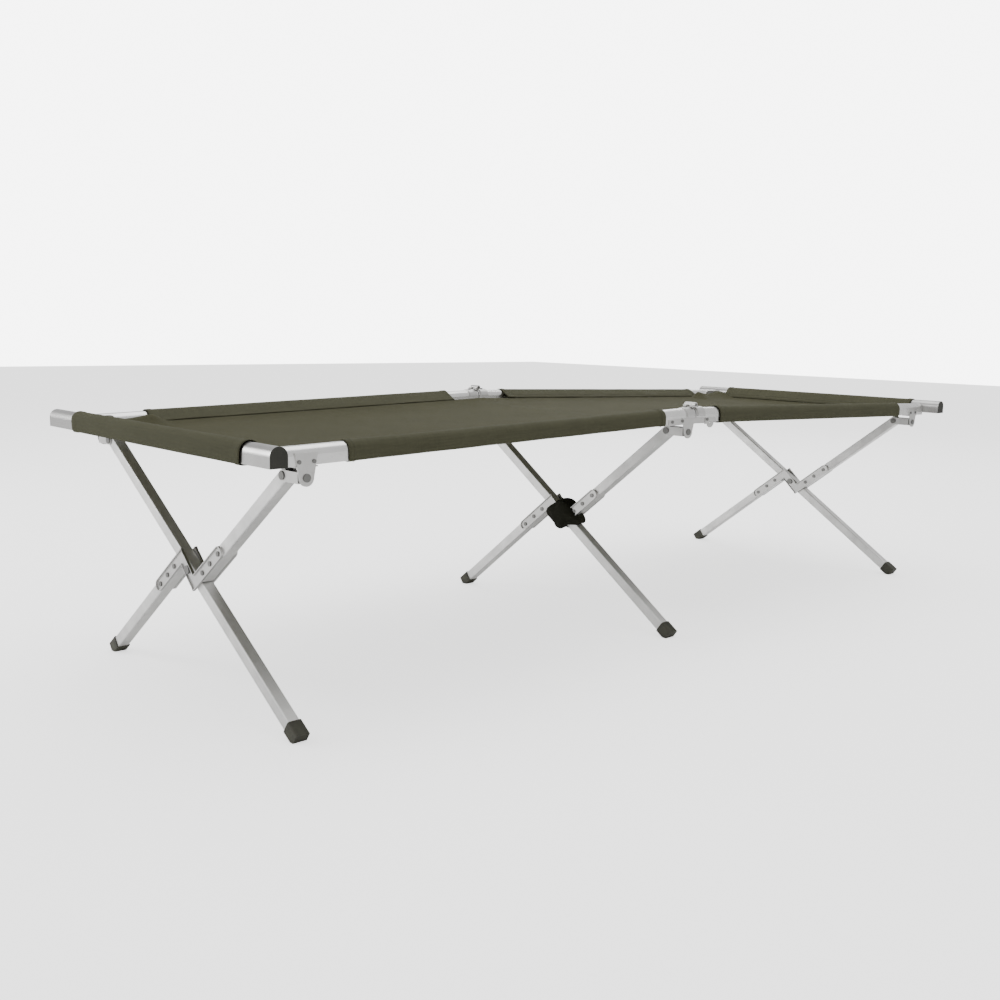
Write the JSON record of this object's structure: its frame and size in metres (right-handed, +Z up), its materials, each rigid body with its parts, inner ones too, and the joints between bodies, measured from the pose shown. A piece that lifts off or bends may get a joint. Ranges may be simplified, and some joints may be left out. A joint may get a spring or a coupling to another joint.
{
  "type": "folding cot",
  "caption": "Folding cot with a canvas deck on hinged side rails, pull-out end bars and crossed offset legs that fold under the rails.",
  "frame": {"origin": "on the floor below the middle of the cot", "axes": "+X towards the near side rail, +Y along the cot towards the foot end, +Z up"},
  "size_m": [0.71, 1.904, 0.4566],
  "materials": {
    "rail": "satin",
    "bar": "satin",
    "leg": "satin",
    "hinge_leaf": "satin",
    "bracket": "satin",
    "plate": "satin",
    "rivet": "satin",
    "canvas": "matte",
    "plug": "matte",
    "shoe": "matte",
    "wrap": "matte"
  },
  "bodies": {
    "near_head": {"near_head_rail": "rail", "near_head_leaf": "hinge_leaf", "near_head_brackets": "bracket", "near_head_rivets": "rivet", "near_head_sleeve": "canvas", "head_deck": "canvas", "head_end_sleeve": "canvas"},
    "near_foot": {"near_foot_rail": "rail", "near_foot_leaf": "hinge_leaf", "near_foot_brackets": "bracket", "near_foot_rivets": "rivet", "near_foot_sleeve": "canvas", "foot_deck": "canvas", "foot_end_sleeve": "canvas"},
    "far_head": {"far_head_rail": "rail", "far_head_leaf": "hinge_leaf", "far_head_brackets": "bracket", "far_head_rivets": "rivet", "far_head_sleeve": "canvas"},
    "far_foot": {"far_foot_rail": "rail", "far_foot_leaf": "hinge_leaf", "far_foot_brackets": "bracket", "far_foot_rivets": "rivet", "far_foot_sleeve": "canvas"},
    "head_bar_body": {"head_bar": "bar", "head_bar_plugs": "plug"},
    "foot_bar_body": {"foot_bar": "bar", "foot_bar_plugs": "plug"},
    "head_split_leg": {"head_upper_tube": "leg", "head_lower_tube": "leg", "head_plates": "plate", "head_fasteners": "rivet", "head_far_shoe": "shoe"},
    "head_long_leg_body": {"head_long_leg": "leg", "head_far_pin": "rivet", "head_near_shoe": "shoe"},
    "head_near_knuckle_body": {"head_near_knuckle": "plate"},
    "head_far_knuckle_body": {"head_far_knuckle": "plate"},
    "mid_split_leg": {"mid_upper_tube": "leg", "mid_lower_tube": "leg", "mid_plates": "plate", "mid_fasteners": "rivet", "mid_far_shoe": "shoe", "mid_wrap": "wrap"},
    "mid_long_leg_body": {"mid_long_leg": "leg", "mid_far_pin": "rivet", "mid_near_shoe": "shoe"},
    "mid_near_knuckle_body": {"mid_near_knuckle": "plate"},
    "mid_far_knuckle_body": {"mid_far_knuckle": "plate"},
    "foot_split_leg": {"foot_upper_tube": "leg", "foot_lower_tube": "leg", "foot_plates": "plate", "foot_fasteners": "rivet", "foot_far_shoe": "shoe"},
    "foot_long_leg_body": {"foot_long_leg": "leg", "foot_far_pin": "rivet", "foot_near_shoe": "shoe"},
    "foot_near_knuckle_body": {"foot_near_knuckle": "plate"},
    "foot_far_knuckle_body": {"foot_far_knuckle": "plate"}
  },
  "joints": [
    {"name": "length_fold", "type": "hinge", "parent": "near_head", "child": "near_foot", "pos_m": [0.303, 0, 0.4521], "axis": [1, 0, 0], "range_deg": [0, 181.5]},
    {"name": "end_legs_fold", "type": "hinge", "parent": "near_head", "child": "head_near_knuckle_body", "pos_m": [0.285, -0.87, 0.382], "axis": [1, 0, 0], "range_deg": [0, 90]},
    {"name": "foot_legs_fold", "type": "hinge", "parent": "near_foot", "child": "foot_near_knuckle_body", "pos_m": [0.285, 0.87, 0.382], "axis": [-1, 0, 0], "range_deg": [0, 90]},
    {"name": "middle_legs_fold", "type": "hinge", "parent": "near_head", "child": "mid_near_knuckle_body", "pos_m": [0.285, -0.024, 0.40213], "axis": [-1, 0, 0], "range_deg": [0, 70]},
    {"name": "width_fold", "type": "hinge", "parent": "mid_near_knuckle_body", "child": "mid_split_leg", "pos_m": [0.275, -0.024, 0.40213], "axis": [0, -1, 0], "range_deg": [0, 52.5], "deforming": ["head_deck", "foot_deck", "head_end_sleeve", "foot_end_sleeve"]},
    {"name": "mid_cross_pivot", "type": "hinge", "parent": "mid_split_leg", "child": "mid_long_leg_body", "pos_m": [0, -0.024, 0.212], "axis": [0, -1, 0], "range_deg": [-105.02, 0]},
    {"name": "mid_far_top_pin", "type": "hinge", "parent": "mid_long_leg_body", "child": "mid_far_knuckle_body", "pos_m": [-0.275, -0.024, 0.40213], "axis": [0, -1, 0], "range_deg": [0, 52.5]},
    {"name": "head_width_fold", "type": "hinge", "parent": "head_near_knuckle_body", "child": "head_split_leg", "pos_m": [0.275, -0.87, 0.382], "axis": [0, -1, 0], "range_deg": [0, 53.88]},
    {"name": "head_cross_pivot", "type": "hinge", "parent": "head_split_leg", "child": "head_long_leg_body", "pos_m": [0, -0.87, 0.201], "axis": [0, -1, 0], "range_deg": [-107.75, 0]},
    {"name": "head_far_top_pin", "type": "hinge", "parent": "head_long_leg_body", "child": "head_far_knuckle_body", "pos_m": [-0.275, -0.87, 0.382], "axis": [0, -1, 0], "range_deg": [0, 53.88]},
    {"name": "foot_width_fold", "type": "hinge", "parent": "foot_near_knuckle_body", "child": "foot_split_leg", "pos_m": [0.275, 0.87, 0.382], "axis": [0, -1, 0], "range_deg": [0, 53.88]},
    {"name": "foot_cross_pivot", "type": "hinge", "parent": "foot_split_leg", "child": "foot_long_leg_body", "pos_m": [0, 0.87, 0.201], "axis": [0, -1, 0], "range_deg": [-107.75, 0]},
    {"name": "foot_far_top_pin", "type": "hinge", "parent": "foot_long_leg_body", "child": "foot_far_knuckle_body", "pos_m": [-0.275, 0.87, 0.382], "axis": [0, -1, 0], "range_deg": [0, 53.88]},
    {"name": "far_middle_legs_fold", "type": "hinge", "parent": "mid_far_knuckle_body", "child": "far_head", "pos_m": [-0.285, -0.024, 0.40213], "axis": [1, 0, 0], "range_deg": [0, 70]},
    {"name": "far_length_fold", "type": "hinge", "parent": "far_head", "child": "far_foot", "pos_m": [-0.303, 0, 0.4521], "axis": [1, 0, 0], "range_deg": [0, 181.5]},
    {"name": "head_bar_slide", "type": "slide", "parent": "near_head", "child": "head_bar_body", "axis": [1, 0, 0], "range_m": [0, 0.72]},
    {"name": "foot_bar_slide", "type": "slide", "parent": "near_foot", "child": "foot_bar_body", "axis": [1, 0, 0], "range_m": [0, 0.72]}
  ],
  "couplings": [
    {"joint": "foot_legs_fold", "follows": "end_legs_fold", "ratio": 1},
    {"joint": "mid_cross_pivot", "follows": "width_fold", "ratio": -2},
    {"joint": "mid_far_top_pin", "follows": "width_fold", "ratio": 1},
    {"joint": "head_width_fold", "follows": "width_fold", "ratio": 1.026},
    {"joint": "head_cross_pivot", "follows": "width_fold", "ratio": -2.052},
    {"joint": "head_far_top_pin", "follows": "width_fold", "ratio": 1.026},
    {"joint": "foot_width_fold", "follows": "width_fold", "ratio": 1.026},
    {"joint": "foot_cross_pivot", "follows": "width_fold", "ratio": -2.052},
    {"joint": "foot_far_top_pin", "follows": "width_fold", "ratio": 1.026},
    {"joint": "far_middle_legs_fold", "follows": "middle_legs_fold", "ratio": 1},
    {"joint": "far_length_fold", "follows": "length_fold", "ratio": 1}
  ]
}
